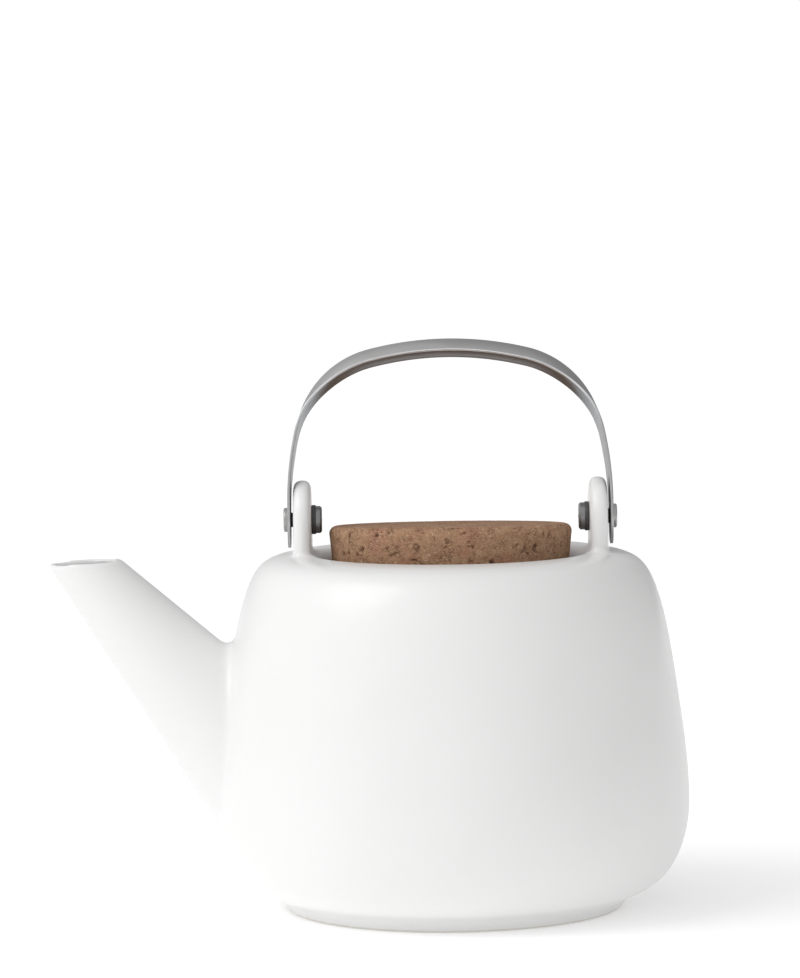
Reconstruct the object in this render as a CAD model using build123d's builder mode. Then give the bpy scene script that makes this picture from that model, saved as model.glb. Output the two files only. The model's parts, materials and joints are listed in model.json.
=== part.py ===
from build123d import *
import os
from math import atan2, cos, radians, sin, tan

# Porcelain teapot with a cork lid, a hanging tea basket and a steel strip bail. Millimetres, +Z up.
# The origin is the centre of the foot ring, on the table. The spout points along -X, called the front.
# The bail swings about an axis along X.

os.makedirs("parts", exist_ok=True)

# ---- driving dimensions: pot ----
belly_radius = 80.6
belly_height = 36.4  # height of the widest ring
belly_turn = 20.6  # how far in from the belly the underside starts to turn up
wall = 4.5
foot_radius = 58.0
foot_width = 4.5
foot_height = 4.9
foot_round = 1.0
crest_radius = 49.0  # top ring of the rim
crest_height = 121.9
flank = ((77.9, 67.9), (74.3, 91.9), (70.0, 109.4), (65.6, 117.5))  # rings from belly to crest
inner_shoulder = (65.2, 108.4)  # ring on the hollow's side: radius, height
inner_roof = (54.0, 116.4)  # top ring of the hollow
seat_height = 113.9  # ledge that carries the tea basket and the lid
seat_radius = 43.0
mouth_radius = 37.0

# ---- spout ----
spout_slope = 49.0  # degrees above horizontal
spout_half_angle = 8.75
spout_tip_x = -126.9  # where the spout's axis leaves the pouring edge
spout_tip_height = 120.2
spout_tip_radius = 9.7
spout_tip_wall = 2.2
spout_root_wall = 3.6
spout_length = 110.0  # from the tip back to inside the pot's wall
spout_bore_length = 124.0  # from the tip back to inside the hollow
mouth_tilt = 2.8  # the pouring edge rises towards the pot by this many degrees
spout_lip_round = 0.8
spout_blend = 3.0

# ---- lugs and bail pivots ----
lug_x = 50.4  # middle of a lug's thickness
lug_thickness = 6.2
lug_radius = 13.6
lug_root = 118.4  # the lugs start inside the wall, at this height
lug_round = 2.7
lug_bore_play = 0.2
pivot_height = 133.4
screw_radius = 2.0
screw_head_radius = 4.1
screw_head_height = 1.4
screw_head_round = 0.5
socket_across_flats = 2.5
socket_depth = 0.8
bush_radius = 2.5
bush_stand_off = 0.85  # how far the bush stands out of the lug
washer_radius = 5.0
washer_thickness = 1.5
washer_round = 0.35
nut_radius = 4.65
nut_height = 2.0
nut_bore_depth = 1.2
nut_chamfer = 0.6
nut_slot = (5.4, 1.0, 0.4)  # screwdriver slot: length, width, depth
screw_end_gap = 0.2  # between a screw's end and the bottom of the nut's bore
play = 0.05  # between faces that turn or slide on each other
cut_past = 1.0  # how far a cutting shape runs past the face it opens

# ---- bail ----
strip_width = 19.0
strip_thickness = 1.0
bail_rise = 62.0  # pivot to the top of the crown, in the bail's own plane
bail_lean = 12.5  # degrees back from upright, as the bail is left standing
crown_radius = 112.0
crown_half_angle = 14.2
shoulder_radius = 33.2
shoulder_end_angle = 75.3
dish_depth = 4.9  # hollow of the grip's curved section
dish_start = 29.0  # height above the pivot where the strip stops being flat
dish_full = 60.0  # height above the pivot where the hollow is fully formed

# ---- lid ----
lid_radius = 41.5
lid_height = 129.0
lid_taper = 4.75  # degrees
lid_tilt = 3.0  # degrees: the seal holds the front of the lid proud, and its back edge is down
lid_top_round = 2.5
plug_radius = 33.0
plug_length = 13.0
plug_round = 1.5
seal_radius = 34.2
seal_thickness = 3.0
seal_drop = 4.0  # from the lid's underside to the seal
seal_groove = 1.2

# ---- tea basket ----
flange_radius = 41.6
flange_thickness = 0.8
basket_radius = 35.4
basket_floor_radius = 31.0
collar_length = 14.0
collar_thickness = 0.8
basket_depth = 66.0
basket_wall = 0.5
basket_lap = 3.0  # how far the wall stands up inside the collar
basket_floor_thickness = 0.6

# ---- worked out ----
lug_inner_x = lug_x - lug_thickness / 2
lug_outer_x = lug_x + lug_thickness / 2
bush_end_x = lug_outer_x + bush_stand_off
strip_inner_x = bush_end_x + play
strip_outer_x = strip_inner_x + strip_thickness
head_inner_x = strip_outer_x + play
washer_inner_x = lug_inner_x - washer_thickness
nut_inner_x = washer_inner_x - nut_height
lid_seat_height = seat_height + flange_thickness
spout_dir = Vector(-cos(radians(spout_slope)), 0, sin(radians(spout_slope)))
spout_tip = Vector(spout_tip_x, 0, spout_tip_height)
mouth_plane = Plane(
    origin=spout_tip,
    x_dir=(cos(radians(mouth_tilt)), 0, sin(radians(mouth_tilt))),
    z_dir=(-sin(radians(mouth_tilt)), 0, cos(radians(mouth_tilt))),
)


def finish(part, name):
    """Label a finished piece and write its file."""
    part.label = name
    export_step(part, f"parts/{name}.step")


# ==== pot body: body, spout and lugs in one fired piece ====


def belly_quarter(inset):
    """Draw the quarter ellipse from the underside up to the widest ring, inset from the outside."""
    return EllipticalCenterArc(
        (belly_radius - belly_turn, belly_height),
        belly_turn - inset,
        belly_height - foot_height - inset,
        start_angle=270,
        arc_size=90,
    )


def spout_plane(distance):
    """Plane across the spout, at a distance back from its tip along the axis."""
    return Plane(origin=spout_tip - spout_dir * distance, x_dir=(0, 1, 0), z_dir=spout_dir)


def spout_radius(distance):
    """Outer radius of the spout at a distance back from its tip."""
    return spout_tip_radius + distance * tan(radians(spout_half_angle))


def bore_radius(distance):
    """Inner radius of the spout at a distance back from its tip. Its wall thickens towards the pot."""
    thickening = (spout_root_wall - spout_tip_wall) * distance / spout_length
    return spout_radius(distance) - spout_tip_wall - thickening


spout_overrun = 2 * spout_tip_radius  # made too long at the tip, then cut at the pouring edge

with BuildPart() as lug:
    with BuildSketch(Plane.YZ.offset(lug_inner_x)):
        with Locations((0, pivot_height)):
            Circle(lug_radius)
        with Locations((0, (lug_root + pivot_height) / 2)):
            Rectangle(2 * lug_radius, pivot_height - lug_root)
    extrude(amount=lug_thickness)
    fillet(lug.faces().filter_by(Axis.X).edges(), lug_round)

with BuildPart() as pot_body:
    # outside of the body, closed over the mouth
    with BuildSketch(Plane.XZ):
        with BuildLine():
            quarter = belly_quarter(0)
            side = Spline(
                (belly_radius, belly_height),
                *flank,
                (crest_radius, crest_height),
                tangents=((0, 1), (-1, 0)),
            )
            Polyline(side @ 1, (0, crest_height), (0, foot_height), quarter @ 0)
        make_face()
    revolve(axis=Axis.Z)
    # spout, blended into the body
    for distance in (-spout_overrun, spout_length):
        with BuildSketch(spout_plane(distance)):
            Circle(spout_radius(distance))
    loft()
    fillet(pot_body.edges(Select.NEW), spout_blend)
    split(bisect_by=mouth_plane, keep=Keep.BOTTOM)
    # hollow inside, with the well and the mouth
    with BuildSketch(Plane.XZ):
        with BuildLine():
            quarter = belly_quarter(wall)
            side = Spline(
                (belly_radius - wall, belly_height),
                *((radius - wall, height) for radius, height in flank[:2]),
                inner_shoulder,
                inner_roof,
                tangents=((0, 1), (-1, 0)),
            )
            Polyline(
                side @ 1,
                (seat_radius + wall, seat_height - wall),
                (mouth_radius, seat_height - wall),
                (mouth_radius, seat_height),
                (seat_radius, seat_height),
                (seat_radius, crest_height - crest_radius + seat_radius),
            )
            RadiusArc(
                (seat_radius, crest_height - crest_radius + seat_radius),
                (crest_radius, crest_height),
                crest_radius - seat_radius,
            )
            Polyline(
                (crest_radius, crest_height),
                (crest_radius, crest_height + cut_past),
                (0, crest_height + cut_past),
                (0, foot_height + wall),
                quarter @ 0,
            )
        make_face()
    revolve(axis=Axis.Z, mode=Mode.SUBTRACT)
    # spout's bore
    for distance in (-spout_overrun, spout_bore_length):
        with BuildSketch(spout_plane(distance)):
            Circle(bore_radius(distance))
    loft(mode=Mode.SUBTRACT)
    lip = pot_body.faces().filter_by(mouth_plane).sort_by(Axis.X)[0]
    fillet(lip.edges(), spout_lip_round)
    # lugs
    add(lug.part)
    add(mirror(lug.part, about=Plane.YZ, mode=Mode.PRIVATE))
    # foot ring
    with BuildSketch(Plane.XY):
        Circle(foot_radius)
        Circle(foot_radius - foot_width, mode=Mode.SUBTRACT)
    extrude(amount=foot_height + cut_past)
    fillet(pot_body.faces().sort_by(Axis.Z)[0].edges(), foot_round)
    # holes for the bushes
    with BuildSketch(Plane.YZ):
        with Locations((0, pivot_height)):
            Circle(bush_radius + lug_bore_play)
    extrude(amount=lug_outer_x + cut_past, both=True, mode=Mode.SUBTRACT)

finish(pot_body.part, "pot_body")

# ==== lid ====

lid_foot_radius = lid_radius - (lid_height - lid_seat_height) * tan(radians(lid_taper))
seal_bottom = lid_seat_height - seal_drop - seal_thickness
groove_radius = plug_radius - seal_groove
lid_rest = Axis((0, lid_foot_radius, lid_seat_height), (1, 0, 0))  # the back of the lid's underside

with BuildPart() as cork_lid:
    with BuildSketch(Plane.XZ):
        with BuildLine():
            Polyline(
                (0, lid_height),
                (lid_radius, lid_height),
                (lid_foot_radius, lid_seat_height),
                (plug_radius, lid_seat_height),
                (plug_radius, seal_bottom + seal_thickness),
                (groove_radius, seal_bottom + seal_thickness),
                (groove_radius, seal_bottom),
                (plug_radius, seal_bottom),
                (plug_radius, lid_seat_height - plug_length),
                (0, lid_seat_height - plug_length),
                close=True,
            )
        make_face()
    revolve(axis=Axis.Z)
    rings = cork_lid.edges().filter_by(GeomType.CIRCLE)
    fillet(rings.group_by(Axis.Z)[-1], lid_top_round)
    fillet(cork_lid.edges().filter_by(GeomType.CIRCLE).group_by(Axis.Z)[0], plug_round)
finish(cork_lid.part.rotate(lid_rest, -lid_tilt), "cork_lid")

with BuildPart() as lid_seal:
    with BuildSketch(Plane.XZ):
        with BuildLine():
            bead_x = seal_radius - seal_thickness / 2
            Polyline(
                (bead_x, seal_bottom),
                (groove_radius, seal_bottom),
                (groove_radius, seal_bottom + seal_thickness),
                (bead_x, seal_bottom + seal_thickness),
            )
            ThreePointArc(
                (bead_x, seal_bottom + seal_thickness),
                (seal_radius, seal_bottom + seal_thickness / 2),
                (bead_x, seal_bottom),
            )
        make_face()
    revolve(axis=Axis.Z)
finish(lid_seal.part.rotate(lid_rest, -lid_tilt), "lid_seal")

# ==== tea basket ====

collar_inner = basket_radius - collar_thickness
collar_bottom = lid_seat_height - collar_length
wall_top = collar_bottom + basket_lap
basket_bottom = seat_height - basket_depth

with BuildPart() as infuser_rim:
    with BuildSketch(Plane.XZ):
        with BuildLine():
            Polyline(
                (collar_inner, collar_bottom),
                (basket_radius, collar_bottom),
                (basket_radius, seat_height),
                (flange_radius, seat_height),
                (flange_radius, lid_seat_height),
                (collar_inner, lid_seat_height),
                close=True,
            )
        make_face()
    revolve(axis=Axis.Z)
finish(infuser_rim.part, "infuser_rim")

with BuildPart() as infuser_wall:
    with BuildSketch(Plane.XZ):
        with BuildLine():
            Polyline(
                (collar_inner, wall_top),
                (collar_inner, collar_bottom),
                (basket_floor_radius, basket_bottom),
                (basket_floor_radius - basket_wall, basket_bottom),
                (collar_inner - basket_wall, collar_bottom),
                (collar_inner - basket_wall, wall_top),
                close=True,
            )
        make_face()
    revolve(axis=Axis.Z)
finish(infuser_wall.part, "infuser_wall")

with BuildPart() as infuser_floor:
    with BuildSketch(Plane.XY.offset(basket_bottom)):
        Circle(basket_floor_radius - basket_wall)
    extrude(amount=basket_floor_thickness)
finish(infuser_floor.part, "infuser_floor")

# ==== bail ====

lean = radians(bail_lean)
bail_up = Vector(0, sin(lean), cos(lean))
bail_back = Vector(0, cos(lean), -sin(lean))
pivot = Vector(0, 0, pivot_height)

with BuildLine() as half_arch:
    crown = JernArc((0, bail_rise), (1, 0), crown_radius, -crown_half_angle)
    shoulder_turn = shoulder_end_angle - crown_half_angle
    shoulder = JernArc(crown @ 1, crown % 1, shoulder_radius, -shoulder_turn)
    arm_radius = (strip_outer_x - (shoulder @ 1).X) / (1 - sin(radians(shoulder_end_angle)))
    arm = JernArc(shoulder @ 1, shoulder % 1, arm_radius, shoulder_end_angle - 90)
    Line(arm @ 1, (strip_outer_x, -strip_width / 2))


def in_bail(point):
    """Place a point of the bail's own upright plane (across, up) in the leaning plane."""
    return pivot + Vector(point.X, 0, 0) + bail_up * point.Y


def dish(height):
    """Hollow of the strip at a height above the pivot: none on the arms, full over the grip."""
    share = min(1, max(0, (height - dish_start) / (dish_full - dish_start)))
    return dish_depth * share * share * (3 - 2 * share)


def strip_row(share, side):
    """Points across the strip's outer face, at a share of the half arch, on one side."""
    point = arch_line @ share
    along = arch_line % share
    outward = Vector(-along.Y, along.X)
    hollow = dish(point.Y)
    half = strip_width / 2 - 4 / 3 * hollow * hollow / strip_width
    edge_angle = 2 * atan2(hollow, half)
    row = []
    for step in range(-row_steps, row_steps + 1):
        across = half * step / row_steps
        drop = 0
        if hollow > 0:
            bend_radius = half / sin(edge_angle)
            across = bend_radius * sin(edge_angle * step / row_steps)
            drop = bend_radius * (1 - cos(edge_angle * step / row_steps))
        spot = point - outward * drop
        row.append(in_bail(Vector(side * spot.X, spot.Y)) + bail_back * across)
    return row


row_steps = 4  # points each side of the strip's middle
arch_steps = 60  # rows from an arm's foot to the crown
arch_line = Wire(half_arch.edges())
rows = [strip_row(1 - step / arch_steps, -1) for step in range(arch_steps)]
rows += [strip_row(step / arch_steps, 1) for step in range(arch_steps + 1)]

with BuildPart() as handle_bail:
    outer_face = Face.make_surface_from_array_of_points(rows)
    thicken(outer_face, amount=-strip_thickness)
    # ends rounded about the pivots, and drilled
    for side in (-1, 1):
        inside = (side * (strip_inner_x - cut_past), 0, pivot_height)
        with BuildSketch(Plane(origin=inside, x_dir=bail_up, z_dir=(side, 0, 0))):
            with Locations((-strip_width / 2, 0)):
                Rectangle(strip_width, strip_width + 2 * cut_past)
            Circle(strip_width / 2, mode=Mode.SUBTRACT)
            Circle(screw_radius + play)
        extrude(amount=strip_thickness + 2 * cut_past, mode=Mode.SUBTRACT)
finish(handle_bail.part, "handle_bail")

# ==== pivot hardware, the same at the front and the rear ====


def pivot_plane(side, x):
    """Plane across a pivot at a distance from the middle of the pot, facing outwards."""
    return Plane(origin=(side * x, 0, pivot_height), x_dir=(0, 1, 0), z_dir=(side, 0, 0))


for end, side in (("front", -1), ("rear", 1)):
    with BuildPart() as screw:
        shank_start = washer_inner_x - nut_bore_depth + screw_end_gap
        with BuildSketch(pivot_plane(side, shank_start)):
            Circle(screw_radius)
        extrude(amount=head_inner_x - shank_start)
        with BuildSketch(pivot_plane(side, head_inner_x)):
            Circle(screw_head_radius)
        extrude(amount=screw_head_height)
        outer_face = screw.faces().sort_by(Axis.X)[-1 if side > 0 else 0]
        fillet(outer_face.edges(), screw_head_round)
        with BuildSketch(pivot_plane(side, head_inner_x + screw_head_height)):
            RegularPolygon(socket_across_flats / 2, 6, major_radius=False)
        extrude(amount=-socket_depth, mode=Mode.SUBTRACT)
    finish(screw.part, f"{end}_pivot_screw")

    with BuildPart() as bush:
        with BuildSketch(pivot_plane(side, lug_inner_x)):
            Circle(bush_radius)
            Circle(screw_radius + play, mode=Mode.SUBTRACT)
        extrude(amount=bush_end_x - lug_inner_x)
    finish(bush.part, f"{end}_pivot_bush")

    with BuildPart() as washer:
        with BuildSketch(pivot_plane(side, washer_inner_x)):
            Circle(washer_radius)
            Circle(screw_radius + play, mode=Mode.SUBTRACT)
        extrude(amount=washer_thickness)
        fillet(washer.edges().filter_by(GeomType.CIRCLE).sort_by(SortBy.RADIUS)[-2:], washer_round)
    finish(washer.part, f"{end}_inner_washer")

    with BuildPart() as nut:
        with BuildSketch(pivot_plane(side, nut_inner_x)):
            Circle(nut_radius)
        extrude(amount=nut_height)
        inner_face = nut.faces().sort_by(Axis.X)[0 if side > 0 else -1]
        chamfer(inner_face.edges(), nut_chamfer)
        with BuildSketch(pivot_plane(side, washer_inner_x)):
            Circle(screw_radius + play)
        extrude(amount=-nut_bore_depth, mode=Mode.SUBTRACT)
        slot_length, slot_width, slot_depth = nut_slot
        with BuildSketch(pivot_plane(side, nut_inner_x)):
            SlotOverall(slot_length, slot_width)
        extrude(amount=slot_depth, mode=Mode.SUBTRACT)
    finish(nut.part, f"{end}_cap_nut")
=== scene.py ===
import bpy
import json
import math
from mathutils import Matrix, Vector, noise


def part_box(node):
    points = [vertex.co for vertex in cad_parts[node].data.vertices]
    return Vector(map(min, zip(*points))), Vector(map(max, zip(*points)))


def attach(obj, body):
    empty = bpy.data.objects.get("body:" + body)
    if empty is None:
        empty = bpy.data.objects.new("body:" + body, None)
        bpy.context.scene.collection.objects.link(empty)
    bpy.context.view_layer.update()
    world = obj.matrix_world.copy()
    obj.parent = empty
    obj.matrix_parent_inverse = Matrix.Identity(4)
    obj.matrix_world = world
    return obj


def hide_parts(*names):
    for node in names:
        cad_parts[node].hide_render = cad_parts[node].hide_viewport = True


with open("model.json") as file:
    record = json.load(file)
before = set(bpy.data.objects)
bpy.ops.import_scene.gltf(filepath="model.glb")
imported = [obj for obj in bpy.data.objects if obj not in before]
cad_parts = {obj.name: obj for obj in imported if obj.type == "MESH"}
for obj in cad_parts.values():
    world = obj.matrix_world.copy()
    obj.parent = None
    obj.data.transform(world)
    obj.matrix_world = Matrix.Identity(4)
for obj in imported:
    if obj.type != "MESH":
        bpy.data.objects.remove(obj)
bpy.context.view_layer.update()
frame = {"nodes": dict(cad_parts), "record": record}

# A white porcelain teapot with a cork lid, a steel strip bail and a hanging tea basket, in metres.
MM = 0.001

# ---- sizes taken from the frame ----
BAIL_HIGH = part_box("handle_bail")[1]
SCREW_LOW, SCREW_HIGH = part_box("rear_pivot_screw")
BASKET_LOW, BASKET_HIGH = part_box("infuser_wall")
PIVOT_HEIGHT = (SCREW_LOW[2] + SCREW_HIGH[2]) / 2


# ==== camera ====
EYE_DISTANCE = 1.61  # in front of the pivots
EYE_HEIGHT = 0.2662
EYE_ACROSS = -0.0153
LOOK_DOWN = math.radians(4.36)
ROLL = math.radians(0.8)  # the view is a little askew
FOCAL_LENGTH = 213.0  # millimetres, as the sensor's width is
SENSOR_WIDTH = 36.0

cam_data = bpy.data.cameras.new("camera")
cam_data.sensor_fit = "HORIZONTAL"
cam_data.sensor_width = SENSOR_WIDTH
cam_data.lens = FOCAL_LENGTH
cam_data.clip_end = 30
cam = bpy.data.objects.new("camera", cam_data)
cam.location = (EYE_ACROSS, -EYE_DISTANCE, EYE_HEIGHT)
cam.rotation_euler = (math.pi / 2 - LOOK_DOWN, ROLL, 0)
bpy.context.scene.collection.objects.link(cam)
bpy.context.scene.camera = cam


# ==== helpers for meshes ====
def new_piece(name, verts, faces, material, body, replaced=()):
    """A smooth mesh object that rides on a CAD body and stands for the named CAD nodes."""
    mesh = bpy.data.meshes.new(name)
    mesh.from_pydata(verts, [], faces)
    mesh.validate()
    piece = bpy.data.objects.new(name, mesh)
    bpy.context.scene.collection.objects.link(piece)
    mesh.shade_smooth()
    mesh.materials.append(material)
    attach(piece, body)
    if replaced:
        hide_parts(*replaced)
    return piece


def apply_modifiers(piece):
    """Turns the piece's modifiers into plain mesh."""
    depsgraph = bpy.context.evaluated_depsgraph_get()
    mesh = bpy.data.meshes.new_from_object(piece.evaluated_get(depsgraph))
    piece.modifiers.clear()
    piece.data = mesh


def lathe(profile, steps):
    """Vertices and faces of a profile of (radius, height) turned about Z.

    Ends at radius 0 are closed by fans.
    """
    verts, faces, rings = [], [], []
    for radius, height in profile:
        if radius == 0:
            rings.append([len(verts)] * steps)
            verts.append((0, 0, height))
            continue
        rings.append(list(range(len(verts), len(verts) + steps)))
        for k in range(steps):
            turn = 2 * math.pi * k / steps
            verts.append((radius * math.cos(turn), radius * math.sin(turn), height))
    for low, high in zip(rings, rings[1:]):
        for k in range(steps):
            n = (k + 1) % steps
            corners = [low[k], low[n], high[n], high[k]]
            faces.append([c for i, c in enumerate(corners) if c not in corners[:i]])
    return verts, faces


# ==== helpers for materials ====
class Nodes:
    """A node tree, built by short calls."""

    def __init__(self, tree):
        self.tree = tree

    def set(self, node, values):
        for key, value in values.items():
            node.inputs[key].default_value = value

    def node(self, kind, **values):
        made = self.tree.nodes.new(kind)
        for key, value in values.items():
            setattr(made, key, value)
        return made

    def link(self, source, target):
        self.tree.links.new(source, target)

    def stretch(self, where, scale):
        """Coordinates stretched by a scale for each axis."""
        made = self.node("ShaderNodeMapping")
        made.inputs["Scale"].default_value = scale
        self.link(where, made.inputs["Vector"])
        return made.outputs["Vector"]

    def place(self, scale=(1, 1, 1)):
        """Coordinates in metres, fixed to the piece, stretched by a scale for each axis."""
        return self.stretch(self.node("ShaderNodeTexCoord").outputs["Object"], scale)

    def axes(self, where):
        """The X, Y and Z outputs of a vector."""
        made = self.node("ShaderNodeSeparateXYZ")
        self.link(where, made.inputs["Vector"])
        return made.outputs["X"], made.outputs["Y"], made.outputs["Z"]

    def painted(self, name):
        """The red and green outputs of a colour that the mesh carries."""
        paint = self.node("ShaderNodeAttribute", attribute_name=name)
        made = self.node("ShaderNodeSeparateColor")
        self.link(paint.outputs["Color"], made.inputs["Color"])
        return made.outputs["Red"], made.outputs["Green"]

    def noise(self, where, scale, detail=3.0, rough=0.5, distortion=0.0):
        made = self.node("ShaderNodeTexNoise")
        self.set(made, {"Scale": scale, "Detail": detail, "Roughness": rough, "Distortion": distortion})
        self.link(where, made.inputs["Vector"])
        return made.outputs["Fac"]

    def ramp(self, factor, stops):
        """A colour ramp through stops of (place, colour)."""
        made = self.node("ShaderNodeValToRGB")
        elements = made.color_ramp.elements
        while len(elements) < len(stops):
            elements.new(0.5)
        for element, (position, color) in zip(elements, stops):
            element.position = position
            element.color = (*color, 1)
        self.link(factor, made.inputs["Fac"])
        return made.outputs["Color"]

    def span(self, factor, low, high, start=0.0, end=1.0, easing="LINEAR"):
        """A factor from start to end turned into a number from low to high."""
        made = self.node("ShaderNodeMapRange", interpolation_type=easing)
        self.set(made, {"From Min": start, "From Max": end, "To Min": low, "To Max": high})
        self.link(factor, made.inputs["Value"])
        return made.outputs["Result"]

    def mix(self, factor, first, second, blend="MIX"):
        """Two colours mixed. Each value is an output, a number or a colour."""
        made = self.node("ShaderNodeMix", data_type="RGBA", blend_type=blend)
        sockets = made.inputs[0], made.inputs[6], made.inputs[7]
        for socket, value in zip(sockets, (factor, first, second)):
            if isinstance(value, bpy.types.NodeSocket):
                self.link(value, socket)
            else:
                socket.default_value = value if isinstance(value, float) else (*value, 1)
        return made.outputs[2]

    def combine(self, operation, first, second):
        """Two numbers put through one Math operation, such as MULTIPLY."""
        made = self.node("ShaderNodeMath", operation=operation)
        self.link(first, made.inputs[0])
        self.link(second, made.inputs[1])
        return made.outputs[0]

    def warp(self, where, scale, reach):
        """Coordinates pushed about by a noise, by up to a reach in metres."""
        push = self.node("ShaderNodeTexNoise")
        self.set(push, {"Scale": scale, "Detail": 2.0})
        self.link(where, push.inputs["Vector"])
        made = self.node("ShaderNodeVectorMath", operation="MULTIPLY_ADD")
        self.link(push.outputs["Color"], made.inputs[0])
        made.inputs[1].default_value = (reach, reach, reach)
        self.link(where, made.inputs[2])
        return made.outputs["Vector"]

    def bump(self, height, depth, strength=1.0, under=None):
        """A bump of a height from 0 to 1, depth metres deep, on top of the bump under it."""
        made = self.node("ShaderNodeBump")
        self.set(made, {"Strength": strength, "Distance": depth})
        self.link(height, made.inputs["Height"])
        if under is not None:
            self.link(under, made.inputs["Normal"])
        return made.outputs["Normal"]


class Shader(Nodes):
    """A material with a Principled shader."""

    def __init__(self, name, color, roughness, metallic=0.0):
        self.material = bpy.data.materials.new(name)
        self.material.use_nodes = True
        super().__init__(self.material.node_tree)
        self.main = self.tree.nodes["Principled BSDF"]
        self.set(self.main, {"Base Color": (*color, 1), "Roughness": roughness, "Metallic": metallic})

    def feed(self, **sockets):
        """Links outputs to the Principled shader. Underscores stand for spaces."""
        for key, value in sockets.items():
            self.link(value, self.main.inputs[key.replace("_", " ")])


# ==== materials ====
BARE_FOOT = 0.6 * MM, 1.1 * MM  # heights between which the glaze fades out


def porcelain():
    """White glaze, slightly uneven, with a bare matt foot."""
    s = Shader("porcelain", (0.81, 0.81, 0.805), 0.32)
    s.set(s.main, {"Coat Weight": 0.15, "Coat Roughness": 0.08, "IOR": 1.5})
    where = s.place()
    cloud = s.noise(where, 26.0)
    glaze = s.ramp(cloud, [(0.0, (0.795, 0.795, 0.79)), (1.0, (0.83, 0.83, 0.826))])
    bare = s.span(s.axes(where)[2], 1.0, 0.0, *BARE_FOOT)
    grit = s.ramp(s.noise(where, 2600.0), [(0.3, (0.66, 0.64, 0.6)), (0.7, (0.78, 0.76, 0.72))])
    s.feed(Base_Color=s.mix(bare, glaze, grit))
    gloss = s.span(cloud, 0.28, 0.36)
    s.feed(Roughness=s.combine("MAXIMUM", gloss, s.span(bare, 0.0, 0.8)))
    ripple = s.bump(s.noise(where, 70.0, 1.0), 0.25 * MM, 0.35)
    s.feed(Normal=s.bump(s.noise(where, 900.0, 2.0), 0.02 * MM, 0.3, ripple))
    return s.material


def cork():
    """Pressed cork. The tint of its larger granules and the gaps between them come from the mesh."""
    s = Shader("cork", (0.3, 0.19, 0.12), 0.85)
    s.set(s.main, {"Specular IOR Level": 0.3})
    where = s.place()
    tone, gap = s.painted("granule")
    granules = s.ramp(tone, [
        (0.0, (0.27, 0.15, 0.084)), (0.35, (0.33, 0.19, 0.11)), (0.65, (0.365, 0.218, 0.128)),
        (1.0, (0.44, 0.285, 0.175)),
    ])
    warm = s.span(s.noise(where, 75.0, 2.0), 0.0, 0.65, 0.5, 0.68)
    body = s.mix(warm, granules, (0.35, 0.155, 0.105))
    flakes = s.place((1.0, 1.0, 2.0))
    wood = s.ramp(s.noise(flakes, 1000.0, 5.0, 0.7, 1.0), [
        (0.28, (0.4, 0.32, 0.27)), (0.39, (0.84, 0.81, 0.79)), (0.5, (1.0, 1.0, 1.0)),
        (0.7, (1.28, 1.3, 1.3)),
    ])
    body = s.mix(1.0, body, wood, "MULTIPLY")
    seams = s.node("ShaderNodeTexVoronoi", feature="DISTANCE_TO_EDGE")
    seams.inputs["Scale"].default_value = 620.0
    s.link(s.warp(flakes, 900.0, 1.1 * MM), seams.inputs["Vector"])
    crack = s.span(seams.outputs["Distance"], 1.0, 0.0, 0.0, 0.09)
    seen = s.span(s.noise(where, 240.0, 3.0), 0.0, 0.95, 0.44, 0.57)
    body = s.mix(s.combine("MULTIPLY", crack, seen), body, (0.11, 0.052, 0.028))
    fleck = s.span(s.noise(flakes, 1150.0, 2.0, 0.5, 1.5), 0.0, 0.85, 0.61, 0.68)
    body = s.mix(fleck, body, (0.6, 0.43, 0.29))
    s.feed(Base_Color=s.mix(gap, body, (0.10, 0.045, 0.024)))
    s.feed(Roughness=s.span(s.noise(where, 800.0), 0.7, 0.95))
    s.feed(Normal=s.bump(s.noise(where, 1900.0, 4.0, 0.65), 0.1 * MM, 0.5))
    return s.material


def brushed_strip():
    """Stainless strip, brushed along its length, with a painted highlight on its edges and painted shade
    on its inside.

    The brush lines follow the strip's own lengthwise map. The mesh says where the edges
    and the inside are.
    """
    s = Shader("brushed_strip", (0.42, 0.41, 0.40), 0.32, 1.0)
    s.set(s.main, {"Anisotropic": 0.5})
    along = s.node("ShaderNodeUVMap", uv_map="along").outputs["UV"]
    lines = s.noise(s.stretch(along, (6.0, 420.0, 1.0)), 8.0, 5.0, 0.65)
    hair = s.noise(s.stretch(along, (20.0, 3000.0, 1.0)), 6.0, 3.0, 0.7)
    patch = s.noise(s.place(), 60.0, 2.0)
    broad_tone = s.ramp(lines, [(0.25, (0.325, 0.325, 0.325)), (0.75, (0.515, 0.512, 0.51))])
    fine_tone = s.ramp(hair, [(0.25, (0.335, 0.335, 0.335)), (0.75, (0.495, 0.492, 0.49))])
    patch_tone = s.ramp(patch, [(0.3, (0.355, 0.355, 0.355)), (0.7, (0.5, 0.5, 0.497))])
    tone = s.mix(0.25, s.mix(0.5, broad_tone, fine_tone), patch_tone)
    # The edges are painted lighter: a painted highlight, full along the grip and faint on the arms.
    edge, inside = s.painted("side")
    tone = s.mix(edge, tone, (0.86, 0.89, 0.92))
    # The inside is painted darker and cooler: painted shade, which also cools the cork's warm reflection
    # there.
    painted_inside_shade = s.mix(1.0, tone, (0.68, 0.7, 0.725), "MULTIPLY")
    s.feed(Base_Color=s.mix(inside, tone, painted_inside_shade))
    s.feed(Roughness=s.span(lines, 0.26, 0.46, 0.2, 0.8))
    s.feed(Normal=s.bump(hair, 0.03 * MM, 0.5, s.bump(lines, 0.04 * MM, 0.4)))
    return s.material


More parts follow.
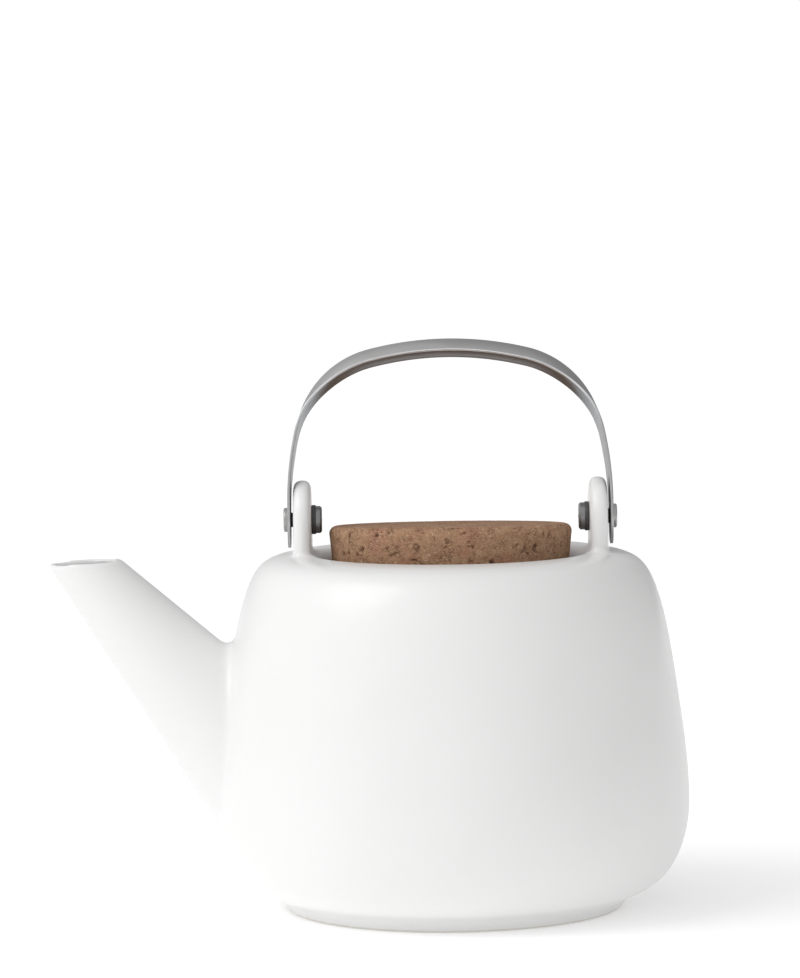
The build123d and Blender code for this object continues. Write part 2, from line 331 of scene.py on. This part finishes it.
def turned_steel(name, low, high, rough):
    """Small turned metal parts: faint rings about the pivot axis, along X."""
    s = Shader(name, high, rough, 1.0)
    x, y, z = s.axes(s.place())
    lift = s.node("ShaderNodeMath", operation="SUBTRACT")
    lift.inputs[1].default_value = PIVOT_HEIGHT
    s.link(z, lift.inputs[0])
    flat = s.node("ShaderNodeCombineXYZ")
    s.link(y, flat.inputs["X"])
    s.link(lift.outputs[0], flat.inputs["Y"])
    reach = s.node("ShaderNodeVectorMath", operation="LENGTH")
    s.link(flat.outputs["Vector"], reach.inputs[0])
    ring_place = s.node("ShaderNodeCombineXYZ")
    s.link(reach.outputs["Value"], ring_place.inputs["X"])
    s.link(x, ring_place.inputs["Y"])
    rings = s.noise(ring_place.outputs["Vector"], 5200.0, 3.0, 0.6)
    s.feed(Base_Color=s.ramp(rings, [(0.25, low), (0.75, high)]))
    s.feed(Roughness=s.span(rings, rough - 0.06, rough + 0.1, 0.2, 0.8))
    s.feed(Normal=s.bump(rings, 0.03 * MM, 0.4))
    return s.material


def moulded(name, low, high, rough, grain):
    """Dull moulded plastic or rubber with a fine grain."""
    s = Shader(name, high, rough)
    where = s.place()
    cloud = s.noise(where, grain)
    s.feed(Base_Color=s.ramp(cloud, [(0.3, low), (0.7, high)]))
    s.feed(Roughness=s.span(cloud, rough - 0.06, rough + 0.08, 0.2, 0.8))
    s.feed(Normal=s.bump(s.noise(where, grain * 2.5), 0.03 * MM, 0.5))
    return s.material


def silicone():
    """Milky translucent silicone."""
    s = Shader("silicone", (0.74, 0.73, 0.7), 0.38)
    s.set(s.main, {"Subsurface Weight": 0.35, "Subsurface Scale": 3.0 * MM})
    cloud = s.noise(s.place(), 400.0)
    s.feed(Base_Color=s.ramp(cloud, [(0.3, (0.7, 0.69, 0.66)), (0.7, (0.78, 0.77, 0.74))]))
    s.feed(Roughness=s.span(cloud, 0.34, 0.46, 0.3, 0.7))
    s.feed(Normal=s.bump(s.noise(s.place(), 1800.0), 0.02 * MM, 0.4))
    return s.material


def pressed_steel(name, rough, scale):
    """Stainless sheet or wire with a soft drawn grain about the Z axis."""
    s = Shader(name, (0.55, 0.55, 0.54), rough, 1.0)
    grain = s.noise(s.place((1.0, 1.0, 14.0)), scale, 4.0, 0.6)
    s.feed(Base_Color=s.ramp(grain, [(0.3, (0.46, 0.46, 0.45)), (0.7, (0.6, 0.6, 0.59))]))
    s.feed(Roughness=s.span(grain, rough - 0.05, rough + 0.1, 0.2, 0.8))
    s.feed(Normal=s.bump(grain, 0.03 * MM, 0.3))
    return s.material


MATERIALS = {
    "porcelain": porcelain(),
    "cork": cork(),
    "silicone": silicone(),
    "polished_steel": pressed_steel("pressed_steel", 0.2, 160.0),
    "mesh_steel": pressed_steel("mesh_steel", 0.3, 900.0),
    "brushed_steel": brushed_strip(),
    "fastener_steel": turned_steel("turned_steel", (0.36, 0.36, 0.35), (0.5, 0.49, 0.48), 0.34),
    "dark_steel": turned_steel("dark_turned_steel", (0.2, 0.2, 0.2), (0.32, 0.32, 0.32), 0.4),
    "black_nylon": moulded("black_nylon", (0.012, 0.012, 0.012), (0.022, 0.022, 0.022), 0.5, 900.0),
    "black_rubber": moulded("black_rubber", (0.045, 0.045, 0.046), (0.075, 0.075, 0.077), 0.5, 700.0),
}
for part in frame["record"]["subparts"]:
    node = frame["nodes"][part["node"]]
    node.data.materials.clear()
    node.data.materials.append(MATERIALS[part["material_slot"]])


# ==== pot ====
GLAZE_VOXEL = 0.8 * MM
GLAZE_PASSES = 14
FOOT_PASSES = 220
FOOT_FLOW = 1.2 * MM, 2.8 * MM, 8.5 * MM, 12.0 * MM  # heights: seam starts, is full, fades, ends
FOOT_RADIUS = 55.0 * MM  # the seam lies outside this


def add_smoothing(piece, name, passes, group=""):
    """Draws the points halfway towards their neighbours, pass by pass, as far as a group has weight."""
    soft = piece.modifiers.new(name, "SMOOTH")
    soft.factor = 0.5
    soft.iterations = passes
    soft.vertex_group = group


def soften_foot(pot):
    """Lets the underside of the body run into the foot ring in one soft curve."""
    start, full, fade, end = FOOT_FLOW
    seam = pot.vertex_groups.new(name="foot_seam")
    for vertex in pot.data.vertices:
        x, y, z = vertex.co
        weight = min((z - start) / (full - start), (end - z) / (end - fade), 1.0)
        if weight > 0 and math.hypot(x, y) > FOOT_RADIUS:
            seam.add([vertex.index], weight, "REPLACE")
    add_smoothing(pot, "soft_foot", FOOT_PASSES, seam.name)
    apply_modifiers(pot)
    pot.vertex_groups.clear()


def make_glazed_pot():
    """The pot as glazed: the lugs and the spout flow into the body, and the lips are rounded."""
    mesh = frame["nodes"]["pot_body"].data
    verts = [tuple(v.co) for v in mesh.vertices]
    faces = [list(p.vertices) for p in mesh.polygons]
    pot = new_piece("glazed_pot", verts, faces, MATERIALS["porcelain"], "pot", ["pot_body"])
    grid = pot.modifiers.new("grid", "REMESH")
    grid.mode = "VOXEL"
    grid.voxel_size = GLAZE_VOXEL
    add_smoothing(pot, "flow", GLAZE_PASSES)
    apply_modifiers(pot)
    soften_foot(pot)
    pot.data.shade_smooth()


make_glazed_pot()


# ==== cork lid ====
DISC_RADIUS = 41.5 * MM
DISC_INSET = 0.1 * MM  # of the disc's widest ring, inside that radius
DISC_FOOT_RADIUS = 40.31 * MM
DISC_EDGE_ROUND = 2.6 * MM
DISC_FOOT_ROUND = 1.0 * MM
PLUG_RADIUS = 33.0 * MM
PLUG_LENGTH = 13.0 * MM
PLUG_ROUND = 1.5 * MM
GROOVE_DEPTH = 1.2 * MM
GROOVE_TOP = 4.0 * MM  # below the disc's underside
GROOVE_WIDTH = 3.0 * MM
LID_TOP = 129.0 * MM
DISC_UNDER = 114.7 * MM
LID_TILT = math.radians(3.0)  # the front stands proud, about the back of the disc's underside
CORK_STEP = 0.36 * MM  # size of the mesh on the faces that show
CORK_TURNS = 720
GRANULE = 2.0 * MM
GRANULE_SEED = 1  # without it, the noise that bends the granules differs in each run
BEND_WAVES = 300.0  # to a metre, as PIT_WAVES and GRAIN_WAVES are
BEND_REACH = 0.5  # in granules, as GAP_WIDTH and PIT_WIDTH are
GAP_WIDTH = 0.1
GAP_DEPTH = 0.05 * MM
PIT_WAVES = 420.0
PIT_LEVEL = 0.22  # of the noise, where pits start to open
PIT_SLOPE = 4.5  # how fast they open above that
PIT_WIDTH = 0.22
PIT_DEPTH = 0.45 * MM
GRAIN_WAVES = 1500.0
GRAIN_DEPTH = 0.03 * MM


def even(start, end, step):
    """Points from start up to, but not including, end, about step apart."""
    count = max(1, round((Vector(end) - Vector(start)).length / step))
    return [tuple(Vector(start).lerp(Vector(end), k / count)) for k in range(count)]


def corner(centre, radius, start, end, count):
    """Points on an arc of a profile, from one angle to another, in degrees."""
    points = []
    for k in range(count):
        angle = math.radians(start + (end - start) * k / count)
        points.append((centre[0] + radius * math.cos(angle), centre[1] + radius * math.sin(angle)))
    return points


def lid_profile():
    """The lid's outline from the middle of its top, round the disc and the plug, to the plug's middle."""
    top, under = LID_TOP, DISC_UNDER
    plug_low = under - PLUG_LENGTH
    groove_top = under - GROOVE_TOP
    groove_low = groove_top - GROOVE_WIDTH
    groove = PLUG_RADIUS - GROOVE_DEPTH
    edge = (DISC_RADIUS - DISC_EDGE_ROUND - DISC_INSET, top - DISC_EDGE_ROUND)
    foot = (DISC_FOOT_RADIUS - DISC_FOOT_ROUND, under + DISC_FOOT_ROUND)
    points = even((0.0, top), (edge[0], top), CORK_STEP)
    points += corner(edge, DISC_EDGE_ROUND, 90, -5, 12)
    points += even(points[-1], (DISC_FOOT_RADIUS, foot[1]), CORK_STEP)[1:]
    points += corner(foot, DISC_FOOT_ROUND, 0, -90, 5)
    points += even((foot[0], under), (PLUG_RADIUS, under), 2 * CORK_STEP)
    points += even((PLUG_RADIUS, under), (PLUG_RADIUS, groove_top), 2 * CORK_STEP)
    points += [(PLUG_RADIUS, groove_top), (groove, groove_top), (groove, groove_low)]
    points += even((PLUG_RADIUS, groove_low), (PLUG_RADIUS, plug_low + PLUG_ROUND), 2 * CORK_STEP)
    points += corner((PLUG_RADIUS - PLUG_ROUND, plug_low + PLUG_ROUND), PLUG_ROUND, 0, -90, 6)
    points += even((PLUG_RADIUS - PLUG_ROUND, plug_low), (0.0, plug_low), 3 * CORK_STEP)
    return points + [(0.0, plug_low)]


def cork_relief(place):
    """(depth of the surface, granule's tint, darkness of the gap) at a place in the pressed cork."""
    cell = place / GRANULE + noise.noise_vector(place * BEND_WAVES) * BEND_REACH
    distances, centres = noise.voronoi(cell)
    tint = 0.5 + 0.6 * noise.noise(centres[0] * 7.31 + Vector((3.1, 1.7, 9.2)))
    edge = distances[1] - distances[0]
    gap = max(0.0, 1.0 - edge / GAP_WIDTH)
    level = noise.noise(place * PIT_WAVES + Vector((5.0, 2.0, 1.0)))
    opened = min(1.0, max(0.0, level - PIT_LEVEL) * PIT_SLOPE)
    pit = max(0.0, 1.0 - edge / PIT_WIDTH) * opened
    grain = noise.noise(place * GRAIN_WAVES)
    depth = GAP_DEPTH * gap + PIT_DEPTH * pit - GRAIN_DEPTH * grain
    return depth, tint, min(1.0, 0.3 * gap * (0.25 + opened) + 0.85 * pit)


def make_cork_lid():
    """The pressed cork disc and its plug, one piece, pitted all over."""
    noise.seed_set(GRANULE_SEED)
    verts, faces = lathe(lid_profile()[::-1], CORK_TURNS)
    lid = new_piece("cork_lid_disc", verts, faces, MATERIALS["cork"], "lid", ["cork_lid"])
    mesh = lid.data
    normals = [v.normal.copy() for v in mesh.vertices]
    layer = mesh.attributes.new("granule", "FLOAT_COLOR", "POINT")
    for vertex, normal in zip(mesh.vertices, normals):
        depth, tint, gap = cork_relief(vertex.co)
        vertex.co -= normal * max(0.0, depth)
        layer.data[vertex.index].color = (tint, gap, 0.0, 1.0)
    heel = Matrix.Translation((0, DISC_FOOT_RADIUS, DISC_UNDER))
    mesh.transform(heel @ Matrix.Rotation(-LID_TILT, 4, "X") @ heel.inverted())


make_cork_lid()


# ==== bail strip ====
STRIP_WIDTH = 19.0 * MM
STRIP_THICKNESS = 1.0 * MM
STRIP_EDGE_ROUND = 0.22 * MM
STRIP_OUTER_X = BAIL_HIGH[0]
BAIL_RISE = 61.98 * MM
BAIL_LEAN = math.radians(12.5)
CROWN_RADIUS = 112.0 * MM
CROWN_TURN = math.radians(14.2)
SHOULDER_RADIUS = 33.2 * MM
SHOULDER_END = math.radians(75.3)
DISH_DEPTH = 4.9 * MM
DISH_START = 29.0 * MM
DISH_FULL = 60.0 * MM
ARM_EDGE_HIGHLIGHT = 0.1  # share of the grip's painted edge highlight that the arms have
ARCH_ROWS = 110  # rows of the mesh from the crown to an arm's end
END_TURNS = [math.radians(a) for a in (*range(0, 90, 6), 88.5)]  # rows round an arm's end
STRIP_COLUMNS = 20
CORNER_PASS = 0.3  # how far in a rounded corner passes, in shares of its radius
BRUSH_LENGTH = 0.2  # metres of strip to one unit of its lengthwise map


class Arch:
    """Half of the bail's outer line, from the crown to an arm's end, in the bail's own plane."""

    def __init__(self):
        self.shoulder_start = (CROWN_RADIUS * math.sin(CROWN_TURN),
                               BAIL_RISE - CROWN_RADIUS * (1 - math.cos(CROWN_TURN)))
        x, y = self.shoulder_start
        self.arm_start = (x + SHOULDER_RADIUS * (math.sin(SHOULDER_END) - math.sin(CROWN_TURN)),
                          y - SHOULDER_RADIUS * (math.cos(CROWN_TURN) - math.cos(SHOULDER_END)))
        x, y = self.arm_start
        self.arm_radius = (STRIP_OUTER_X - x) / (1 - math.sin(SHOULDER_END))
        self.foot_height = y - self.arm_radius * math.cos(SHOULDER_END)
        self.lengths = [
            CROWN_RADIUS * CROWN_TURN,
            SHOULDER_RADIUS * (SHOULDER_END - CROWN_TURN),
            self.arm_radius * (math.pi / 2 - SHOULDER_END),
            self.foot_height + STRIP_WIDTH / 2,
        ]

    def at(self, travel):
        """(across, up, angle below level) at a distance along the half arch."""
        crown, shoulder, arm = self.lengths[:3]
        if travel < crown:
            turn = travel / CROWN_RADIUS
            return CROWN_RADIUS * math.sin(turn), BAIL_RISE - CROWN_RADIUS * (1 - math.cos(turn)), turn
        travel -= crown
        if travel < shoulder:
            turn = CROWN_TURN + travel / SHOULDER_RADIUS
            x, y = self.shoulder_start
            return (x + SHOULDER_RADIUS * (math.sin(turn) - math.sin(CROWN_TURN)),
                    y - SHOULDER_RADIUS * (math.cos(CROWN_TURN) - math.cos(turn)), turn)
        travel -= shoulder
        if travel < arm:
            turn = SHOULDER_END + travel / self.arm_radius
            x, y = self.arm_start
            return (x + self.arm_radius * (math.sin(turn) - math.sin(SHOULDER_END)),
                    y - self.arm_radius * (math.cos(SHOULDER_END) - math.cos(turn)), turn)
        return STRIP_OUTER_X, self.foot_height - (travel - arm), math.pi / 2


def strip_outline(hollow, half):
    """The strip's closed section as (across, outwards) points, its outer face through the origin."""
    edge_angle = 2 * math.atan2(hollow, half)
    radius = half / math.sin(edge_angle) if hollow > 0 else 0

    def spot(share, depth):
        if hollow <= 0:
            return (half * share, -depth)
        angle = edge_angle * share
        return ((radius - depth) * math.sin(angle), (radius - depth) * math.cos(angle) - radius)

    shares = [1 - 2 * k / STRIP_COLUMNS for k in range(STRIP_COLUMNS + 1)]
    tuck = min(0.5, STRIP_EDGE_ROUND / max(half, 1e-6))
    shares = [max(-1 + tuck, min(1 - tuck, s)) for s in shares]
    side = (0.3, 0.5, 0.7)  # depths of the points on an edge, in shares of the thickness
    corner_share = 1 - tuck * CORNER_PASS
    corner_depth = STRIP_EDGE_ROUND * CORNER_PASS
    outline = [spot(s, 0) for s in shares]
    outline += [spot(-corner_share, corner_depth)]
    outline += [spot(-1, STRIP_THICKNESS * d) for d in side]
    outline += [spot(-corner_share, STRIP_THICKNESS - corner_depth)]
    outline += [spot(s, STRIP_THICKNESS) for s in reversed(shares)]
    outline += [spot(corner_share, STRIP_THICKNESS - corner_depth)]
    outline += [spot(1, STRIP_THICKNESS * d) for d in reversed(side)]
    outline += [spot(corner_share, corner_depth)]
    return outline


def strip_rows(length):
    """(distance along the half arch, side) of each row of the mesh, from one arm's end to the other."""
    straight = length - STRIP_WIDTH / 2
    travels = [straight * k / ARCH_ROWS for k in range(ARCH_ROWS)]
    travels += [straight + STRIP_WIDTH / 2 * math.sin(a) for a in END_TURNS]
    return [(-t, -1) for t in reversed(travels[1:])] + [(t, 1) for t in travels]


def paint_strip(strip, section, runs, edge_highlight):
    """Marks the strip's edges for the painted highlight and its inside for the painted shade, and maps it
    along its length.
    """
    side = strip.data.attributes.new("side", "FLOAT_COLOR", "POINT")
    for vertex in strip.data.vertices:
        row, k = divmod(vertex.index, section)
        # The edge points carry the strength of the painted highlight, the inside points the painted
        # shade.
        edge = edge_highlight[row] if k % (section // 2) > STRIP_COLUMNS else 0.0
        inside = 1.0 if section // 2 <= k <= section // 2 + STRIP_COLUMNS else 0.0
        side.data[vertex.index].color = (edge, inside, 0.0, 1.0)
    along = strip.data.uv_layers.new(name="along")
    for loop in strip.data.loops:
        row, k = divmod(loop.vertex_index, section)
        along.data[loop.index].uv = (runs[row] / BRUSH_LENGTH + 0.5, min(k, section - k) / section)


def make_bail_strip():
    """The bent strip: flat arms with round ends, and a grip that is dished across its width."""
    arch = Arch()
    up = Vector((0, math.sin(BAIL_LEAN), math.cos(BAIL_LEAN)))
    back = Vector((0, math.cos(BAIL_LEAN), -math.sin(BAIL_LEAN)))
    pivot = Vector((0, 0, PIVOT_HEIGHT))
    verts, faces, runs, edge_highlight = [], [], [], []
    for travel, side in strip_rows(sum(arch.lengths)):
        across, high, turn = arch.at(abs(travel))
        share = min(1, max(0, (high - DISH_START) / (DISH_FULL - DISH_START)))
        hollow = DISH_DEPTH * share * share * (3 - 2 * share)
        half = STRIP_WIDTH / 2 - 4 / 3 * hollow * hollow / STRIP_WIDTH  # the dish draws the edges in
        if high < 0:
            half = math.sqrt(max(0, (STRIP_WIDTH / 2) ** 2 - high * high))
        point = Vector((side * across, 0, 0)) + up * high + pivot
        outward = Vector((side * math.sin(turn), 0, 0)) + up * math.cos(turn)
        verts += [point + back * a + outward * d for a, d in strip_outline(hollow, half)]
        runs.append(travel)
        # The painted edge highlight is full on the dished grip and faint on the arms.
        edge_highlight.append(ARM_EDGE_HIGHLIGHT + (1 - ARM_EDGE_HIGHLIGHT) * share)
    section = len(verts) // len(runs)
    last = len(verts) - section
    for row in range(0, last, section):
        for k in range(section):
            n = (k + 1) % section
            faces.append([row + k, row + section + k, row + section + n, row + n])
    faces.append(list(range(section))[::-1])
    faces.append([last + k for k in range(section)])
    strip = new_piece("bail_strip", verts, faces, MATERIALS["brushed_steel"], "bail",
                      ["handle_bail"])
    paint_strip(strip, section, runs, edge_highlight)


make_bail_strip()


# ==== tea basket ====
BASKET_TURNS = 168
BASKET_ROWS = 42
MESH_CELL = 1.3 * MM
WIRE = 0.26 * MM
BASKET_TOP_RADIUS = 34.6 * MM
BASKET_FOOT_RADIUS = 31.0 * MM
BASE_LIFT = 0.3 * MM  # of the floor's mesh above the wall's lower edge
BASE_INSET = 0.5 * MM  # of the floor's mesh inside the wall
HEM_HEIGHT = 2.2 * MM
HEM_THICKNESS = 0.9 * MM
HEM_LIP = 0.2 * MM
HEM_STEPS = 128


def wire_mesh(piece):
    """Turns the piece's faces into wires with real holes between them."""
    wires = piece.modifiers.new("wires", "WIREFRAME")
    wires.thickness = WIRE
    wires.use_boundary = True
    wires.use_even_offset = False
    apply_modifiers(piece)
    piece.data.shade_smooth()


def make_basket_wall():
    """The tapered wall, whose upright wires zigzag by half a cell."""
    low, high = BASKET_LOW[2], BASKET_HIGH[2]
    verts, faces = [], []
    for row in range(BASKET_ROWS + 1):
        share = row / BASKET_ROWS
        radius = BASKET_FOOT_RADIUS + (BASKET_TOP_RADIUS - BASKET_FOOT_RADIUS) * share - WIRE
        for k in range(BASKET_TURNS):
            turn = 2 * math.pi * (k + 0.5 * (row % 2)) / BASKET_TURNS
            verts.append((radius * math.cos(turn), radius * math.sin(turn), low + (high - low) * share))
    for row in range(BASKET_ROWS):
        for k in range(BASKET_TURNS):
            n = (k + 1) % BASKET_TURNS
            a, b = row * BASKET_TURNS, (row + 1) * BASKET_TURNS
            faces.append([a + k, a + n, b + n, b + k])
    wall = new_piece("basket_wall_mesh", verts, faces, MATERIALS["mesh_steel"], "basket",
                     ["infuser_wall"])
    wire_mesh(wall)


def make_basket_floor():
    """The flat floor, of square cells."""
    radius = BASKET_FOOT_RADIUS - BASE_INSET
    count = int(radius / MESH_CELL) + 1
    height = BASKET_LOW[2] + BASE_LIFT
    index, verts, faces = {}, [], []
    for i in range(-count, count + 1):
        for j in range(-count, count + 1):
            x, y = i * MESH_CELL, j * MESH_CELL
            if math.hypot(x, y) < radius:
                index[i, j] = len(verts)
                verts.append((x, y, height))
    for i, j in index:
        around = [(i, j), (i + 1, j), (i + 1, j + 1), (i, j + 1)]
        if all(spot in index for spot in around):
            faces.append([index[spot] for spot in around])
    base = new_piece("basket_floor_mesh", verts, faces, MATERIALS["mesh_steel"], "basket",
                     ["infuser_floor"])
    wire_mesh(base)


def make_basket_hem():
    """The folded band that joins the basket's wall and floor."""
    outer, inner, lip = BASKET_FOOT_RADIUS, BASKET_FOOT_RADIUS - HEM_THICKNESS, HEM_LIP
    low, high = BASKET_LOW[2], BASKET_LOW[2] + HEM_HEIGHT
    profile = [(inner, low + lip), (inner + lip, low), (outer - lip, low), (outer, low + lip),
               (outer, high - lip), (outer - lip, high), (inner + lip, high), (inner, high - lip),
               (inner, low + lip)]
    verts, faces = lathe(profile, HEM_STEPS)
    new_piece("basket_hem", verts, faces, MATERIALS["polished_steel"], "basket")


make_basket_wall()
make_basket_floor()
make_basket_hem()


# ==== floor and light ====
FLOOR_SIZE = 40.0
FLOOR_GLOW = 0.25  # keeps the floor white round the pot, as a lit table does
BOX_PLACE, BOX_TARGET = (-1.1, -0.7, 1.3), (0, 0, 0.08)
BOX_SIDE = 0.8
BOX_POWER = 2  # watts
SKY_DIRECTION = (-0.66, -0.28, 0.7)
SKY_SPREAD = math.radians(42)
SKY_POWER = 0.62
SURROUND_RIGHT = (0.8, 0.45, 0)  # the direction in which the surround grows darker
SURROUND_START, SURROUND_END = -0.75, 0.8  # how far along it that starts and ends
SURROUND_LEFT_POWER, SURROUND_RIGHT_POWER = 0.99, 0.41
SURROUND_LOW_SHARE, SURROUND_TOP_SHARE = 0.8, 1.1
BACKDROP_POWER = 1.1
WHITE = (1, 1, 1, 1)


def make_floor():
    """A wide pale floor at the height of the foot ring."""
    half = FLOOR_SIZE / 2
    mesh = bpy.data.meshes.new("floor")
    mesh.from_pydata([(-half, -half, 0), (half, -half, 0), (half, half, 0), (-half, half, 0)], [],
                     [(0, 1, 2, 3)])
    floor = bpy.data.objects.new("floor", mesh)
    bpy.context.scene.collection.objects.link(floor)
    s = Shader("pale_floor", (0.95, 0.95, 0.95), 0.7)
    s.set(s.main, {"Specular IOR Level": 0.1, "Emission Color": WHITE, "Emission Strength": FLOOR_GLOW})
    mesh.materials.append(s.material)


def new_light(name, kind, power):
    """A light in the scene, as (object, data)."""
    data = bpy.data.lights.new(name, kind)
    data.energy = power
    lamp = bpy.data.objects.new(name, data)
    bpy.context.scene.collection.objects.link(lamp)
    return lamp, data


def soft_box():
    """A square soft box on the left, in front of the pot."""
    lamp, data = new_light("left_box", "AREA", BOX_POWER)
    data.shape = "RECTANGLE"
    data.size = BOX_SIDE
    data.size_y = BOX_SIDE
    lamp.location = BOX_PLACE
    lamp.rotation_euler = (Vector(BOX_TARGET) - Vector(BOX_PLACE)).to_track_quat("-Z", "Y").to_euler()


def soft_sky():
    """A wide distant light from the upper left."""
    lamp, data = new_light("left_sky", "SUN", SKY_POWER)
    data.angle = SKY_SPREAD
    lamp.rotation_euler = Vector(SKY_DIRECTION).to_track_quat("Z", "Y").to_euler()


def studio_world():
    """A plain white surround, brightest at the front left, with an even backdrop for the camera."""
    world = bpy.data.worlds.new("studio")
    world.use_nodes = True
    s = Nodes(world.node_tree)
    where = s.node("ShaderNodeTexCoord").outputs["Generated"]
    across = s.node("ShaderNodeVectorMath", operation="DOT_PRODUCT")
    across.inputs[1].default_value = SURROUND_RIGHT
    s.link(where, across.inputs[0])
    fall = s.span(across.outputs["Value"], SURROUND_LEFT_POWER, SURROUND_RIGHT_POWER,
                  SURROUND_START, SURROUND_END, "SMOOTHSTEP")
    rise = s.span(s.axes(where)[2], SURROUND_LOW_SHARE, SURROUND_TOP_SHARE)
    surround = s.tree.nodes["Background"]
    s.set(surround, {"Color": WHITE})
    s.link(s.combine("MULTIPLY", fall, rise), surround.inputs["Strength"])
    backdrop = s.node("ShaderNodeBackground")
    s.set(backdrop, {"Color": WHITE, "Strength": BACKDROP_POWER})
    pick = s.node("ShaderNodeMixShader")
    s.link(s.node("ShaderNodeLightPath").outputs["Is Camera Ray"], pick.inputs["Fac"])
    s.link(surround.outputs[0], pick.inputs[1])
    s.link(backdrop.outputs[0], pick.inputs[2])
    s.link(pick.outputs[0], s.tree.nodes["World Output"].inputs["Surface"])
    bpy.context.scene.world = world


make_floor()
soft_box()
soft_sky()
studio_world()
bpy.context.scene.view_settings.view_transform = "Standard"
